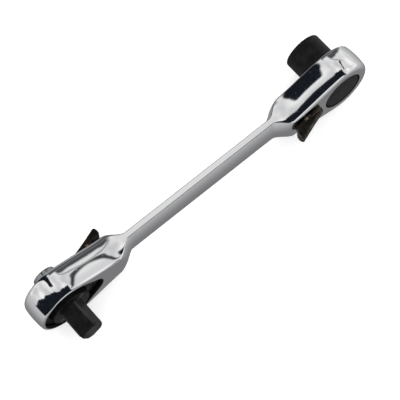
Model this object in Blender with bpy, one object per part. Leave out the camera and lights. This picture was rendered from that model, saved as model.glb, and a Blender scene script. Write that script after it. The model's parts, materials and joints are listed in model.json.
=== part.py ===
"""Double-ended mini reversible ratchet wrench, built as an assembly of separate pieces.

One end turns a 1/4 in square drive, the other a 1/4 in hexagon bit holder. The tool stands on the
rims of its two heads. World frame, metres: X runs along the handle (square end at -X), Z is up
across the width of the heads, Y is the direction of both drive axes. The square drive points to -Y
and the bit holder to +Y: the bit end is the square end turned half a turn about Z.

Each end is designed in its own local frame, in millimetres: u from the drive axis towards the
middle of the handle, v along the drive axis out of the drive side, w up.
"""

import math

import bmesh
import bpy
from mathutils import Matrix, Vector

MM = 0.001

# Whole tool
AXIS_OFFSET = 55.3          # each drive axis from the middle of the handle
HEAD_RADIUS = 11.0          # round end of a head
HEAD_THICKNESS = 9.9
FLANK_START = 2.24          # where the outline leaves the head's round end, from the drive axis
FLANK_END = 24.0            # where it reaches the handle's width
BACK_FILLET = 2.0           # edge rounding on the lever side of a head
DRIVE_FILLET = 0.8          # edge rounding on the drive side of a head
HANDLE_HALF_WIDTH = 5.6
HANDLE_HALF_EDGE = 0.96     # half thickness at the handle's edges
HANDLE_HALF_CROWN = 2.15    # half thickness along its centre line
HANDLE_EDGE_BREAK = 0.25
HANDLE_LEAD = 6.0           # length of handle past the flank that is still finely divided
FLARE_CENTRE = 15.5         # the head's flat face ends on an ellipse about this point
FLARE_START = 5.6           # its half length along the tool
FLARE_SQUEEZE = 0.85        # its length over its width
FLARE_LENGTH = 6.2          # run of the scoop between the face and the handle
WALL_CROWN = 26.0           # radius of the walls' slight bulge across their thickness

# Cavities of a head; heights are along v from the middle of the head's thickness
HALF = HEAD_THICKNESS / 2
CAVITY_FLOOR = -2.3
COVER_SEAT = 2.65
RECESS_RADIUS = 9.6
RECESS_SMALL = 4.5
RECESS_CENTRE = 8.2
GROOVE_DEPTH = 0.5          # of the cover ring's groove in the recess wall
GROOVE_LOW = 3.75
GROOVE_HIGH = 4.55
CAVITY_RADIUS = 8.3
CHAMBER_RADIUS = 4.1
CHAMBER_START = 4.0
CHAMBER_START_RADIUS = 5.9
HUB_HOLE = 7.1
LEVER_CENTRE = 13.2
LEVER_BORE = 2.55
LEVER_BORE_TOP = 1.6
LEVER_GROOVE = 2.95
LEVER_GROOVE_LOW = -3.75
LEVER_GROOVE_HIGH = -3.05
PIN_CENTRE = 9.2
PIN_RADIUS = 0.6
PIN_HOLE = 0.78
PIN_HOLE_FLOOR = -4.0
CUT_PAST = 1.0              # cutters stand this far out of the faces they open
CUT_MEET = 0.5              # and reach this far into the cavity they join

# Ratchet gears
TEETH = 60
GEAR_TIP = 7.9
GEAR_ROOT = 7.45
GEAR_LOW = -2.0
GEAR_HIGH = 2.3
HUB_RADIUS = 6.8
HUB_BACK = -4.85
COLLAR_TOP = HALF + 0.7
SQUARE_SIDE = 6.3
SQUARE_CORNER = 0.45
SQUARE_TIP = HALF + 10.5
SQUARE_TURN = 30.0          # degrees, where the square stands
TIP_CHAMFER = 0.9           # turned onto the square's corners at 45 degrees
TIP_RADIUS = 3.6
HUB_BREAK = 0.25            # edge breaks of the hub and of the collar round the square
COLLAR_BREAK = 0.2
BUTTON_BORE = 4.15
BUTTON_BORE_FLOOR = 0.0
ROD_BORE = 1.45
ROD_BORE_END = 14.2
BALL_RADIUS = 1.1
BALL_HOLE = 1.25
BALL_V = HALF + 6.6
BALL_OUT = 0.45             # how far the ball stands out of the square's face
HOLDER_RADIUS = 6.6
HOLDER_END = HALF + 9.6
HOLDER_ROUND = 0.5
SIDE_SHIFT = (SQUARE_TIP - HOLDER_END) / 2      # centres the whole tool on Y = 0
HEX_FLATS = 6.5
HEX_TURN = -15.0            # degrees, where the hexagon stands
HEX_FLOOR = 2.5
MAGNET_RADIUS = 2.7
MAGNET_LOW = -0.2
MAGNET_HIGH = 2.2
MAGNET_BREAK = 0.2
MAGNET_GAP = 0.15
RING_GROOVE = 4.25
RING_GROOVE_LOW = 11.7
RING_GROOVE_HIGH = 12.6

# Pawl, lever and small parts
PAWL_CLEAR = 8.05           # inner face of the pawl, from the drive axis
PAWL_OUTER = 10.6
PAWL_SPREAD = 21.0          # degrees each way
PAWL_ROCK = 6.0             # degrees each way
PAWL_GAP = 0.13             # clearance between its teeth and the gear's
PAWL_ARM = 1.4              # how far its back tapers in towards each arm's end
STEM_RADIUS = 2.3
STEM_TOP = 1.3
STEM_NECK = 1.85
LEVER_LIFT = 0.15           # gap between the lever and the head's back face
LEVER_BASE_TOP = 1.25       # the plate under the finger, above the same face
LEVER_BASE_RADIUS = 3.9
LEVER_BASE_END = 3.0        # radius of the plate's other end
LEVER_BASE_LENGTH = 4.0     # between the plate's two centres
FINGER_HALF = 3.3           # the finger's half width at its foot
FINGER_TAPER = 0.16         # what it loses for each millimetre of height
# The finger's side, from its low end along the underside to the tip and back over the top
FINGER_SIDE = ((-3.7, 0.9), (-3.7, 0.5), (5.9, 0.5), (6.6, 1.5), (7.7, 1.9), (8.15, 2.9), (7.8, 4.3),
               (6.9, 5.0), (6.0, 4.85))
PLUNGER_RADIUS = 0.85
PLUNGER_BORE = 1.05
PLUNGER_REACH = 2.6         # tip of the plunger from the lever's axis
PLUNGER_LENGTH = 1.9
PLUNGER_BORE_FLOOR = -1.7   # end of its bore, past the lever's axis
PLUNGER_NOSE = ((0.35, 0.0), (0.7, 0.2), (PLUNGER_RADIUS, 0.6))
BUTTON_RADIUS = 3.9
BUTTON_TOP = -(HALF + 3.3)
BUTTON_UNDER = -3.6
ROD_RADIUS = 1.2
ROD_END = 12.4
ROD_TIP = 0.95              # radius of the rod past the ball
ROD_WAIST = 0.5             # radius of the dip that lets the ball in
BUTTON_DOME = 0.45
BUTTON_SPRING = (2.5, 0.25)             # coil radius, wire radius
PLUNGER_SPRING = (0.6, 0.15)
COVER_LOW = 2.85
COVER_HIGH = 3.6
COVER_GAP = 0.3
RING_SLACK = 0.15           # clearance of a spring ring in its groove

ROUND = 50                  # sides of a large round piece; half of it is odd
SMALL = 26                  # sides of a small round piece; half of it is odd
TINY = 12                   # sides of a pin

STEEL_CHROME = ("chrome", (0.80, 0.81, 0.82), 0.08, 1.0)
STEEL_BLACK = ("black_oxide", (0.030, 0.030, 0.033), 0.45, 0.6)
COVER_BLACK = ("cover_black", (0.022, 0.022, 0.024), 0.55, 0.4)
STEEL_BRONZE = ("lever_bronze", (0.115, 0.095, 0.075), 0.42, 0.9)
STEEL_SPRING = ("spring_steel", (0.42, 0.42, 0.43), 0.35, 1.0)
STEEL_GROUND = ("ground_steel", (0.55, 0.55, 0.56), 0.3, 1.0)
BUTTON_STEEL = ("button_chrome", (0.70, 0.70, 0.71), 0.18, 1.0)
MAGNET_NICKEL = ("magnet", (0.50, 0.49, 0.47), 0.3, 1.0)


# ---------------------------------------------------------------- scene and materials

def clear_scene():
    for old in list(bpy.data.objects):
        bpy.data.objects.remove(old, do_unlink=True)


def material(spec):
    name, colour, roughness, metallic = spec
    found = bpy.data.materials.get(name)
    if found:
        return found
    made = bpy.data.materials.new(name)
    made.use_nodes = True
    shader = made.node_tree.nodes["Principled BSDF"]
    shader.inputs["Base Color"].default_value = (*colour, 1.0)
    shader.inputs["Roughness"].default_value = roughness
    shader.inputs["Metallic"].default_value = metallic
    return made


def add_object(name, mesh, spec=None, end=None, origin=(0.0, 0.0, 0.0)):
    """Link a mesh made in local millimetres; origin is the local point that becomes the pivot."""
    point = Vector(origin)
    mesh.transform(Matrix.Translation(-point))
    mesh.transform(Matrix.Scale(MM, 4))
    obj = bpy.data.objects.new(name, mesh)
    bpy.context.scene.collection.objects.link(obj)
    obj.matrix_world = end_matrix(end) @ Matrix.Translation(point * MM)
    if spec:
        mesh.materials.append(material(spec))
        mesh.shade_smooth()
        mesh.set_sharp_from_angle(angle=math.radians(30))
    else:
        obj.hide_render = True
        obj.display_type = "WIRE"
    return obj


def end_matrix(end):
    """Local u, v, w to world: the bit end is the square end turned half a turn about Z."""
    middle = Vector((0.0, SIDE_SHIFT * MM, HEAD_RADIUS * MM))
    if end is None:
        return Matrix.Translation(middle)
    sign = {"square": 1.0, "bit": -1.0}[end]
    frame = Matrix(((sign, 0, 0), (0, -sign, 0), (0, 0, 1))).to_4x4()
    frame.translation = middle - Vector((sign * AXIS_OFFSET * MM, 0.0, 0.0))
    return frame


def boolean(obj, operation, cutter):
    cut = obj.modifiers.new(cutter.name, "BOOLEAN")
    cut.operation = operation
    cut.solver = "EXACT"
    cut.object = cutter


# ---------------------------------------------------------------- mesh tools

def mesh_from(bm):
    bmesh.ops.remove_doubles(bm, verts=bm.verts, dist=1e-5)
    bmesh.ops.recalc_face_normals(bm, faces=bm.faces)
    mesh = bpy.data.meshes.new("piece")
    bm.to_mesh(mesh)
    bm.free()
    return mesh


def stack_loops(bm, loops):
    """Skin a list of closed loops with equal counts and cap both ends."""
    rows = [[bm.verts.new(point) for point in loop] for loop in loops]
    count = len(rows[0])
    for low, high in zip(rows, rows[1:]):
        for i in range(count):
            j = (i + 1) % count
            bm.faces.new((low[i], low[j], high[j], high[i]))
    bm.faces.new(rows[0][::-1])
    bm.faces.new(rows[-1])


def circle(radius, sides, centre=(0.0, 0.0), turn=0.0):
    """A closed outline whose flats, not its corners, lie on the u axis."""
    step = 2 * math.pi / sides
    return [(centre[0] + radius * math.cos(turn + (i + 0.5) * step),
             centre[1] + radius * math.sin(turn + (i + 0.5) * step)) for i in range(sides)]


def pear(big, small, centre, sides, offset=0.0, start=0.0):
    """Hull of a big circle at start and a small one at centre, as a closed outline in u, w."""
    big, small = big + offset, small + offset
    lean = math.asin((big - small) / (centre - start))
    edge = math.pi / 2 - lean
    half = sides // 2
    points = []
    for i in range(half + 1):
        angle = edge + (2 * math.pi - 2 * edge) * i / half
        points.append((start + big * math.cos(angle), big * math.sin(angle)))
    for i in range(half + 1):
        angle = -edge + 2 * edge * i / half
        points.append((centre + small * math.cos(angle), small * math.sin(angle)))
    return points


def prism(outline, low, high):
    bm = bmesh.new()
    stack_loops(bm, [[(u, v, w) for u, w in outline] for v in (low, high)])
    return mesh_from(bm)


def turned(profile, sides, centre=(0.0, 0.0)):
    """Turn a profile of (radius, v) pairs about the axis through centre, along v."""
    bm = bmesh.new()
    loops = []
    for radius, v in profile:
        loops.append([(u, v, w) for u, w in circle(radius, sides, centre)])
    stack_loops(bm, loops)
    return mesh_from(bm)


def cylinder(radius, low, high, sides, centre=(0.0, 0.0)):
    return turned(((radius, low), (radius, high)), sides, centre)


def ring(inner, outer, low, high, sides, centre=(0.0, 0.0), gap=0.0):
    """A flat wire ring of rectangular section; gap is the angle left open, in radians."""
    bm = bmesh.new()
    rows = []
    for i in range(sides + 1):
        angle = gap / 2 + (2 * math.pi - gap) * i / sides
        across = (math.cos(angle), math.sin(angle))
        corners = ((inner, low), (outer, low), (outer, high), (inner, high))
        rows.append([bm.verts.new((centre[0] + r * across[0], v, centre[1] + r * across[1]))
                     for r, v in corners])
    skin_rows(bm, rows)
    return mesh_from(bm)


def skin_rows(bm, rows):
    count = len(rows[0])
    for first, second in zip(rows, rows[1:]):
        for i in range(count):
            j = (i + 1) % count
            bm.faces.new((first[i], first[j], second[j], second[i]))
    bm.faces.new(rows[0][::-1])
    bm.faces.new(rows[-1])


def coil(radius, wire, length, turns, per_turn=10, sides=6):
    """A round-wire spring along +Z from the origin, in millimetres."""
    bm = bmesh.new()
    rows = []
    steps = int(turns * per_turn)
    rise = length / (2 * math.pi * turns)
    for i in range(steps + 1):
        angle = 2 * math.pi * turns * i / steps
        centre = Vector((radius * math.cos(angle), radius * math.sin(angle), rise * angle))
        outward = Vector((math.cos(angle), math.sin(angle), 0.0))
        along = Vector((-radius * math.sin(angle), radius * math.cos(angle), rise)).normalized()
        upward = along.cross(outward)
        rows.append([bm.verts.new(centre + wire * (outward * math.cos(t) + upward * math.sin(t)))
                     for t in (2 * math.pi * k / sides for k in range(sides))])
    skin_rows(bm, rows)
    return mesh_from(bm)


def ball_mesh(radius, centre):
    bm = bmesh.new()
    bmesh.ops.create_uvsphere(bm, u_segments=16, v_segments=10, radius=radius,
                              matrix=Matrix.Translation(centre))
    return mesh_from(bm)


# ---------------------------------------------------------------- body

def outline_half_width(u):
    """Half width of the tool past a head's round end: one smooth curve down to the handle."""
    run = FLANK_END - FLANK_START
    share = min((u - FLANK_START) / run, 1.0)
    first = math.sqrt(HEAD_RADIUS ** 2 - FLANK_START ** 2)
    slope = -FLANK_START / first
    start = (1 + 2 * share) * (1 - share) ** 2
    lean = share * (1 - share) ** 2 * run
    return first * start + slope * lean + HANDLE_HALF_WIDTH * (1 - start)


def stations():
    """Lines across half the tool, from a head's round end to mid-handle.

    Each takes 0 (the centre line) to 1 (the outline) and gives a point in u, w.
    """
    fan, flank, runs = 15, 15, 4
    last = math.acos(FLANK_START / HEAD_RADIUS)
    lines = [fan_line(math.pi - (math.pi - last) * i / fan) for i in range(fan + 1)]
    handle = FLANK_END + HANDLE_LEAD
    for i in range(1, flank + 1):
        share = i / flank
        edge = FLANK_START + (handle - FLANK_START) * share
        lines.append(cross_line(edge, -FLANK_START * (1 - share)))
    for i in range(1, runs + 1):
        lines.append(cross_line(handle + (AXIS_OFFSET - handle) * i / runs, 0.0))
    return lines


def fan_line(angle):
    return lambda t: (t * HEAD_RADIUS * math.cos(angle), t * HEAD_RADIUS * math.sin(angle))


def cross_line(edge, shift):
    """From the centre line to the outline at edge; shift moves its inner end along the tool."""
    half = outline_half_width(edge)
    return lambda t: (edge + shift * (1 - t), t * half)


def half_height(u, w):
    """Half thickness of the body: the head's flat face eases into the crowned handle."""
    t = min(abs(w) / outline_half_width(max(u, FLANK_START)), 1.0)
    lens = HANDLE_HALF_EDGE + (HANDLE_HALF_CROWN - HANDLE_HALF_EDGE) * (1 - t ** 2)
    if u < FLARE_CENTRE:
        return HALF
    past = math.hypot(u - FLARE_CENTRE, w * FLARE_SQUEEZE) - FLARE_START
    share = min(max(past / FLARE_LENGTH, 0.0), 1.0)
    ease = (1 - share) ** 2 * (1 + 2 * share)
    return lens + (HALF - lens) * ease


def rim_arcs(length, height, fillet):
    """Where an edge rounding lies that runs smoothly from the face into the crowned wall.

    height maps the distance from the centre line to the face's height. Returns the rounding's
    centre and the angles of its two ends from the wall's outward direction.
    """
    step = 0.01
    x = length - fillet
    for _ in range(8):
        slope = math.atan((height(x - step) - height(x)) / step)
        first = math.pi / 2 - slope
        y = height(x + fillet * math.cos(first)) - fillet * math.sin(first)
        x = length - WALL_CROWN + math.sqrt((WALL_CROWN - fillet) ** 2 - y ** 2)
    return x, y, first, math.asin(y / (WALL_CROWN - fillet))


def body_columns(fillet):
    """Points of one quarter of the body's skin, a row for each station, from centre to mid-wall."""
    inner, turns, wall = 4, 4, 2
    rows = []
    for point in stations():
        u, w = point(1.0)
        length = math.dist(point(0.0), (u, w))
        thick = (half_height(u, w) - HANDLE_HALF_EDGE) / (HALF - HANDLE_HALF_EDGE)
        radius = HANDLE_EDGE_BREAK + (fillet - HANDLE_EDGE_BREAK) * thick
        x, y, first, last = rim_arcs(length, lambda d: half_height(*point(d / length)), radius)
        start = x + radius * math.cos(first)
        row = []
        for k in range(inner):
            across = point(start / length * k / inner)
            row.append((*across, half_height(*across)))
        for k in range(turns + 1):
            angle = first + (last - first) * k / turns
            row.append((*point((x + radius * math.cos(angle)) / length), y + radius * math.sin(angle)))
        for k in range(1, wall + 1):
            angle = last * (1 - k / wall)
            across = 1 - WALL_CROWN * (1 - math.cos(angle)) / length
            row.append((*point(across), WALL_CROWN * math.sin(angle)))
        rows.append(row)
    return rows


def body_skin():
    """The outside of the body, before its cavities are cut, in world millimetres."""
    bm = bmesh.new()
    columns = {1: body_columns(DRIVE_FILLET), -1: body_columns(BACK_FILLET)}
    for end in (1, -1):
        for up in (1, -1):
            for out in (1, -1):
                grid = [[bm.verts.new((end * (u - AXIS_OFFSET), -end * out * n, up * w))
                         for u, w, n in row] for row in columns[out]]
                for low, high in zip(grid, grid[1:]):
                    for i in range(len(low) - 1):
                        bm.faces.new((low[i], low[i + 1], high[i + 1], high[i]))
    bmesh.ops.remove_doubles(bm, verts=bm.verts, dist=1e-4)
    bmesh.ops.dissolve_degenerate(bm, dist=1e-4, edges=bm.edges)
    bmesh.ops.dissolve_limit(bm, angle_limit=math.radians(0.05), verts=bm.verts, edges=bm.edges)
    return mesh_from(bm)


def body_cutters(end):
    """Closed shapes cut from one head, in its local millimetres."""
    recess = pear(RECESS_RADIUS, RECESS_SMALL, RECESS_CENTRE, ROUND)
    groove = pear(RECESS_RADIUS, RECESS_SMALL, RECESS_CENTRE, ROUND, GROOVE_DEPTH)
    chamber = pear(CHAMBER_START_RADIUS, CHAMBER_RADIUS, RECESS_CENTRE, SMALL, start=CHAMBER_START)
    lever = (LEVER_CENTRE, 0.0)
    pin = (PIN_CENTRE, 0.0)
    return {
        "recess": prism(recess, COVER_SEAT, HALF + CUT_PAST),
        "groove": prism(groove, GROOVE_LOW, GROOVE_HIGH),
        "gear_cavity": cylinder(CAVITY_RADIUS, CAVITY_FLOOR, COVER_SEAT + CUT_MEET, ROUND),
        "pawl_chamber": prism(chamber, CAVITY_FLOOR, COVER_SEAT + CUT_MEET),
        "hub_hole": cylinder(HUB_HOLE, -HALF - CUT_PAST, CAVITY_FLOOR + CUT_MEET, ROUND),
        "lever_bore": cylinder(LEVER_BORE, -HALF - CUT_PAST, LEVER_BORE_TOP, SMALL, lever),
        "lever_groove": cylinder(LEVER_GROOVE, LEVER_GROOVE_LOW, LEVER_GROOVE_HIGH, SMALL, lever),
        "pin_hole": cylinder(PIN_HOLE, PIN_HOLE_FLOOR, CAVITY_FLOOR + CUT_MEET, TINY, pin),
    }


def make_body():
    body = add_object("wrench_body", body_skin(), STEEL_CHROME)
    for end in ("square", "bit"):
        for name, mesh in body_cutters(end).items():
            cutter = add_object(f"cut_{end}_{name}", mesh, None, end)
            boolean(body, "DIFFERENCE", cutter)


# ---------------------------------------------------------------- gears and drives

def tooth_outline(offset=0.0):
    """Pointed ratchet teeth with narrow lands, as a closed outline in u, w."""
    points = []
    pitch = 2 * math.pi / TEETH
    land = pitch * 0.13 + offset / GEAR_TIP
    foot = pitch * 0.36 + offset / GEAR_ROOT
    for i in range(TEETH):
        middle = i * pitch
        for radius, angle in ((GEAR_ROOT, -foot), (GEAR_TIP, -land), (GEAR_TIP, land), (GEAR_ROOT, foot)):
            reach = radius + offset
            points.append((reach * math.cos(middle + angle), reach * math.sin(middle + angle)))
    return points


def gear_blank(name, end, profile):
    gear = add_object(name, turned(profile, ROUND), STEEL_BLACK, end)
    teeth = add_object(f"cut_{name}_teeth", prism(tooth_outline(), GEAR_LOW, GEAR_HIGH), None, end)
    boolean(gear, "UNION", teeth)
    return gear


def rounded_square(side, corner):
    half = side / 2 - corner
    points = []
    for quarter in range(4):
        for step in range(4):
            angle = math.pi / 2 * (quarter + step / 3)
            sign_u = 1 if quarter in (0, 3) else -1
            sign_w = 1 if quarter in (0, 1) else -1
            points.append((sign_u * half + corner * math.cos(angle),
                           sign_w * half + corner * math.sin(angle)))
    turn = math.radians(SQUARE_TURN)
    return [(u * math.cos(turn) - w * math.sin(turn), u * math.sin(turn) + w * math.cos(turn))
            for u, w in points]


def square_shank():
    """The square drive with its turned tip, cut to length inside the collar."""
    shank = add_object("cut_square_shank",
                       prism(rounded_square(SQUARE_SIDE, SQUARE_CORNER), GEAR_LOW, SQUARE_TIP + CUT_PAST),
                       None, "square")
    reach = TIP_RADIUS + TIP_CHAMFER
    lathe = ((reach, GEAR_LOW + CUT_MEET), (reach, SQUARE_TIP - TIP_CHAMFER),
             (TIP_RADIUS, SQUARE_TIP))
    turned_tip = add_object("cut_square_tip", turned(lathe, ROUND), None, "square")
    boolean(shank, "INTERSECT", turned_tip)
    return shank


def ball_direction():
    """Unit vector in u, w out of the face that holds the detent ball."""
    angle = math.radians(SQUARE_TURN - 90.0)
    return (math.cos(angle), math.sin(angle))


def make_square_gear():
    profile = ((HUB_RADIUS - HUB_BREAK, HUB_BACK), (HUB_RADIUS, HUB_BACK + HUB_BREAK),
               (HUB_RADIUS, COLLAR_TOP - COLLAR_BREAK), (HUB_RADIUS - COLLAR_BREAK, COLLAR_TOP))
    gear = gear_blank("square_drive_gear", "square", profile)
    boolean(gear, "UNION", square_shank())
    bore = ((BUTTON_BORE, HUB_BACK - CUT_PAST), (BUTTON_BORE, BUTTON_BORE_FLOOR),
            (ROD_BORE, BUTTON_BORE_FLOOR), (ROD_BORE, ROD_BORE_END))
    boolean(gear, "DIFFERENCE", add_object("cut_rod_bore", turned(bore, SMALL), None, "square"))
    out = ball_direction()
    hole = cylinder(BALL_HOLE, 0.0, SQUARE_SIDE, 16)
    heading = Vector((out[0], 0.0, out[1])).to_track_quat("Y", "Z").to_matrix().to_4x4()
    hole.transform(Matrix.Translation((0.0, BALL_V, 0.0)) @ heading)
    boolean(gear, "DIFFERENCE", add_object("cut_ball_hole", hole, None, "square"))


def hexagon(flats):
    return circle(flats / math.sqrt(3), 6, turn=math.radians(HEX_TURN))


def make_bit_gear():
    nose = HOLDER_ROUND * (1 - math.sqrt(0.5))
    profile = ((HUB_RADIUS - HUB_BREAK, HUB_BACK), (HUB_RADIUS, HUB_BACK + HUB_BREAK),
               (HUB_RADIUS, GEAR_LOW + CUT_MEET), (HOLDER_RADIUS, GEAR_HIGH - CUT_MEET),
               (HOLDER_RADIUS, HOLDER_END - HOLDER_ROUND), (HOLDER_RADIUS - nose, HOLDER_END - nose),
               (HOLDER_RADIUS - HOLDER_ROUND, HOLDER_END))
    gear = gear_blank("bit_holder_gear", "bit", profile)
    socket = prism(hexagon(HEX_FLATS), HEX_FLOOR, HOLDER_END + CUT_PAST)
    boolean(gear, "DIFFERENCE", add_object("cut_hex_socket", socket, None, "bit"))
    seat = cylinder(MAGNET_RADIUS + MAGNET_GAP, MAGNET_LOW - MAGNET_BREAK, HEX_FLOOR + CUT_MEET, SMALL)
    boolean(gear, "DIFFERENCE", add_object("cut_magnet_seat", seat, None, "bit"))
    groove = cylinder(RING_GROOVE, RING_GROOVE_LOW, RING_GROOVE_HIGH, SMALL)
    boolean(gear, "DIFFERENCE", add_object("cut_ring_groove", groove, None, "bit"))


def make_bit_fittings():
    end = MAGNET_RADIUS - MAGNET_BREAK
    magnet = turned(((end, MAGNET_LOW), (MAGNET_RADIUS, MAGNET_LOW + MAGNET_BREAK),
                     (MAGNET_RADIUS, MAGNET_HIGH - MAGNET_BREAK), (end, MAGNET_HIGH)), SMALL)
    add_object("bit_magnet", magnet, MAGNET_NICKEL, "bit")
    clip = ring(RING_GROOVE - 0.85, RING_GROOVE - RING_SLACK, RING_GROOVE_LOW + RING_SLACK,
                RING_GROOVE_HIGH - RING_SLACK, SMALL, gap=0.5)
    add_object("bit_retaining_ring", clip, STEEL_SPRING, "bit")


def make_release():
    """Push button with its rod, its spring and the ball that it frees."""
    waist = BALL_V - 1.5
    profile = ((BUTTON_RADIUS - BUTTON_DOME, BUTTON_TOP), (BUTTON_RADIUS, BUTTON_TOP + BUTTON_DOME),
               (BUTTON_RADIUS, BUTTON_UNDER), (ROD_RADIUS, BUTTON_UNDER), (ROD_RADIUS, waist - 1.5),
               (ROD_WAIST, waist), (ROD_TIP, BALL_V), (ROD_TIP, ROD_END))
    add_object("release_button", turned(profile, SMALL), BUTTON_STEEL, "square")
    gap = 2.2 * BUTTON_SPRING[1]
    spring = coil(*BUTTON_SPRING, BUTTON_BORE_FLOOR - BUTTON_UNDER - 2 * gap, 4)
    spring.transform(Matrix.Rotation(math.radians(-90), 4, "X"))
    spring.transform(Matrix.Translation((0.0, BUTTON_UNDER + gap, 0.0)))
    add_object("release_spring", spring, STEEL_SPRING, "square")
    out = ball_direction()
    reach = SQUARE_SIDE / 2 + BALL_OUT - BALL_RADIUS
    centre = (out[0] * reach, BALL_V, out[1] * reach)
    add_object("drive_detent_ball", ball_mesh(BALL_RADIUS, centre), STEEL_GROUND, "square", centre)


# ---------------------------------------------------------------- reversing mechanism

def pawl_outline():
    spread = math.radians(PAWL_SPREAD)
    inside = PAWL_CLEAR - 0.8           # cut back to the teeth afterwards
    steps = 10
    shares = [2 * i / steps - 1 for i in range(steps + 1)]
    inner = [(inside, spread * share) for share in shares]
    outer = [(PAWL_OUTER - PAWL_ARM * share ** 2, spread * share) for share in reversed(shares)]
    return [(reach * math.cos(angle), reach * math.sin(angle)) for reach, angle in inner + outer]


def turned_about(outline, centre, degrees):
    angle = math.radians(degrees)
    cos, sin = math.cos(angle), math.sin(angle)
    return [(centre[0] + (u - centre[0]) * cos - (w - centre[1]) * sin,
             centre[1] + (u - centre[0]) * sin + (w - centre[1]) * cos) for u, w in outline]


def make_pawl(end):
    """A double-ended pawl; each arm is cut to the gear's teeth in the position where it engages."""
    name = f"{end}_end_pawl"
    pivot = (PIN_CENTRE, 0.0)
    pawl = add_object(name, prism(pawl_outline(), GEAR_LOW, GEAR_HIGH), STEEL_GROUND, end,
                      (PIN_CENTRE, 0.0, 0.0))
    low, high = GEAR_LOW - CUT_MEET, GEAR_HIGH + CUT_MEET
    cutters = {
        "face": prism(circle(PAWL_CLEAR, 96), low, high),
        "mesh_up": prism(turned_about(tooth_outline(PAWL_GAP), pivot, PAWL_ROCK), low, high),
        "mesh_down": prism(turned_about(tooth_outline(PAWL_GAP), pivot, -PAWL_ROCK), low, high),
        "back": prism(circle(PLUNGER_REACH + 0.25, 32, (LEVER_CENTRE, 0.0)), low, high),
        "hole": cylinder(PIN_HOLE, low, high, TINY, pivot),
    }
    for label, mesh in cutters.items():
        boolean(pawl, "DIFFERENCE", add_object(f"cut_{name}_{label}", mesh, None, end))
    low, high, edge = PIN_HOLE_FLOOR + 0.2, COVER_HIGH - 0.2, 0.1
    pin = turned(((PIN_RADIUS - edge, low), (PIN_RADIUS, low + edge),
                  (PIN_RADIUS, high - edge), (PIN_RADIUS - edge, high)), TINY, pivot)
    add_object(f"{end}_end_pawl_pin", pin, STEEL_GROUND, end)


def lever_base():
    base = pear(LEVER_BASE_RADIUS, LEVER_BASE_END, LEVER_CENTRE + LEVER_BASE_LENGTH, SMALL,
                start=LEVER_CENTRE)
    return prism(base, -HALF - LEVER_BASE_TOP, -HALF - LEVER_LIFT)


def lever_finger():
    """A wedge that rises towards its tip, narrower at the top, with an overhanging end."""
    bm = bmesh.new()
    loops = []
    for side in (-1, 1):
        loops.append([(LEVER_CENTRE + u, -HALF - h, side * (FINGER_HALF - FINGER_TAPER * h))
                      for u, h in FINGER_SIDE])
    stack_loops(bm, loops)
    return mesh_from(bm)


def make_lever(end):
    name = f"{end}_end_lever"
    pivot = (LEVER_CENTRE, 0.0)
    lever = add_object(name, lever_base(), STEEL_BRONZE, end, (LEVER_CENTRE, 0.0, 0.0))
    boolean(lever, "UNION", add_object(f"cut_{name}_finger", lever_finger(), None, end))
    low, high = LEVER_GROOVE_LOW + 0.1, LEVER_GROOVE_HIGH - 0.1
    stem = turned(((STEM_RADIUS, -HALF - LEVER_BASE_TOP / 2), (STEM_RADIUS, low), (STEM_NECK, low),
                   (STEM_NECK, high), (STEM_RADIUS, high), (STEM_RADIUS, STEM_TOP)), SMALL, pivot)
    boolean(lever, "UNION", add_object(f"cut_{name}_stem", stem, None, end))
    bore = cylinder(PLUNGER_BORE, 0.0, STEM_RADIUS + CUT_PAST - PLUNGER_BORE_FLOOR, 16)
    bore.transform(Matrix.Rotation(math.radians(90), 4, "Z"))
    bore.transform(Matrix.Translation((LEVER_CENTRE - PLUNGER_BORE_FLOOR, 0.0, 0.0)))
    boolean(lever, "DIFFERENCE", add_object(f"cut_{name}_bore", bore, None, end))
    clip = ring(STEM_NECK + RING_SLACK, LEVER_GROOVE - RING_SLACK, LEVER_GROOVE_LOW + 0.2,
                LEVER_GROOVE_HIGH - 0.2, SMALL, pivot, gap=0.6)
    add_object(f"{end}_end_lever_ring", clip, STEEL_SPRING, end)


def make_plunger(end):
    tip = LEVER_CENTRE - PLUNGER_REACH
    back = tip + PLUNGER_LENGTH
    plunger = turned((*PLUNGER_NOSE, (PLUNGER_RADIUS, PLUNGER_LENGTH)), 16)
    plunger.transform(Matrix.Rotation(math.radians(-90), 4, "Z"))
    plunger.transform(Matrix.Translation((tip, 0.0, 0.0)))
    add_object(f"{end}_end_plunger", plunger, STEEL_GROUND, end, (LEVER_CENTRE, 0.0, 0.0))
    floor = LEVER_CENTRE - PLUNGER_BORE_FLOOR
    gap = 2.3 * PLUNGER_SPRING[1]
    spring = coil(*PLUNGER_SPRING, floor - back - 2 * gap, 4)
    spring.transform(Matrix.Rotation(math.radians(90), 4, "Y"))
    spring.transform(Matrix.Translation((back + gap, 0.0, 0.0)))
    add_object(f"{end}_end_plunger_spring", spring, STEEL_SPRING, end)


def make_cover(end):
    outline = pear(RECESS_RADIUS, RECESS_SMALL, RECESS_CENTRE, ROUND, -COVER_GAP)
    cover = add_object(f"{end}_end_cover_plate", prism(outline, COVER_LOW, COVER_HIGH), COVER_BLACK, end)
    low, high = COVER_LOW - CUT_MEET, COVER_HIGH + CUT_MEET
    hole = cylinder(HUB_HOLE, low, high, ROUND)
    boolean(cover, "DIFFERENCE", add_object(f"cut_{end}_cover_hole", hole, None, end))
    pin_hole = cylinder(PIN_HOLE, low, high, TINY, (PIN_CENTRE, 0.0))
    boolean(cover, "DIFFERENCE", add_object(f"cut_{end}_cover_pin", pin_hole, None, end))


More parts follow.
